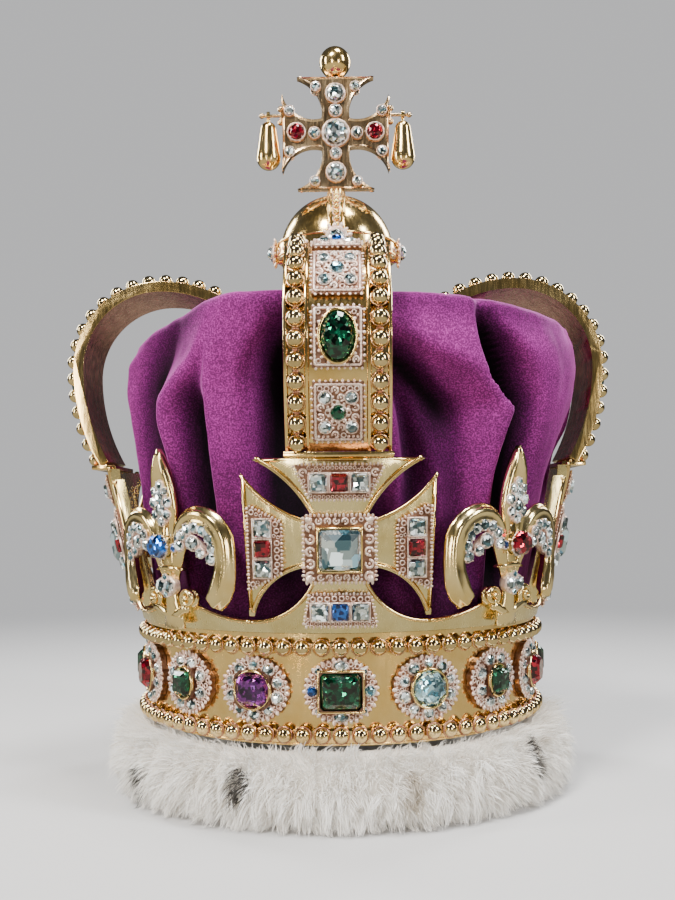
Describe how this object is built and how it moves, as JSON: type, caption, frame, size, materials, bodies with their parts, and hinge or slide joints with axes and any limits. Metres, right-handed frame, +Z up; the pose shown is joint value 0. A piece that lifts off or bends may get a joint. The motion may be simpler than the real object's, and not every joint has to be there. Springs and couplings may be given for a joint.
{
  "type": "arched crown",
  "caption": "Gold arched crown with stones, a violet velvet cap, an orb and cross on top and a white fur rim.",
  "frame": {"origin": "middle of the fur rim's underside, on the surface that the crown stands on", "axes": "+Z up along the crown's axis, the front cross towards -Y, +X to the right seen from the front"},
  "size_m": [0.2744, 0.2744, 0.3735],
  "materials": {
    "gold": "polished gold with darker gold in the recesses",
    "rose_gold": "satin rose gold with pale enamel",
    "stone_clear": "polished, cut",
    "stone_aqua": "polished, cut",
    "stone_green": "polished, cut",
    "stone_red": "polished, cut",
    "stone_violet": "polished, cut",
    "stone_blue": "polished, cut",
    "velvet": "cut pile velvet with a bright sheen on the folds",
    "fur": "white fur with black tail spots"
  },
  "bodies": {
    "root": {"ermine": "fur", "band": "gold", "bead_row_lower": "gold", "bead_row_upper": "gold", "band_settings": "rose_gold", "cross_settings": "rose_gold", "cross_side_stones": "stone_clear", "lily_clusters": "stone_clear", "arch_settings": "rose_gold", "orb": "gold", "top_cross": "rose_gold", "top_cross_stones": "stone_clear", "top_ball": "gold", "cap": "velvet", "band_stone_1": "stone_green", "band_stone_2": "stone_aqua", "band_stone_3": "stone_green", "band_stone_4": "stone_red", "band_stone_5": "stone_green", "band_stone_6": "stone_violet", "band_stone_7": "stone_green", "band_stone_8": "stone_aqua", "band_stone_9": "stone_blue", "band_stone_10": "stone_violet", "band_stone_11": "stone_green", "band_stone_12": "stone_aqua", "band_stone_13": "stone_green", "band_stone_14": "stone_red", "band_stone_15": "stone_green", "band_stone_16": "stone_violet", "cross_1": "gold", "cross_stone_1": "stone_aqua", "lily_1": "gold", "lily_stone_1": "stone_red", "arch_1": "gold", "arch_beads_1": "gold", "arch_emerald_1": "stone_green", "cross_2": "gold", "cross_stone_2": "stone_aqua", "lily_2": "gold", "lily_stone_2": "stone_blue", "arch_2": "gold", "arch_beads_2": "gold", "arch_emerald_2": "stone_green", "cross_3": "gold", "cross_stone_3": "stone_aqua", "lily_3": "gold", "lily_stone_3": "stone_red", "arch_3": "gold", "arch_beads_3": "gold", "arch_emerald_3": "stone_green", "cross_4": "gold", "cross_stone_4": "stone_aqua", "lily_4": "gold", "lily_stone_4": "stone_blue", "arch_4": "gold", "arch_beads_4": "gold", "arch_emerald_4": "stone_green"},
    "left_drop": {"drop_left": "gold"},
    "right_drop": {"drop_right": "gold"}
  },
  "joints": [
    {"name": "left_drop_swing", "type": "hinge", "parent": "root", "child": "left_drop", "pos_m": [-0.0347, 0, 0.33832], "axis": [1, 0, 0], "range_deg": [-75, 75]},
    {"name": "right_drop_swing", "type": "hinge", "parent": "root", "child": "right_drop", "pos_m": [0.0347, 0, 0.33832], "axis": [1, 0, 0], "range_deg": [-75, 75]}
  ]
}
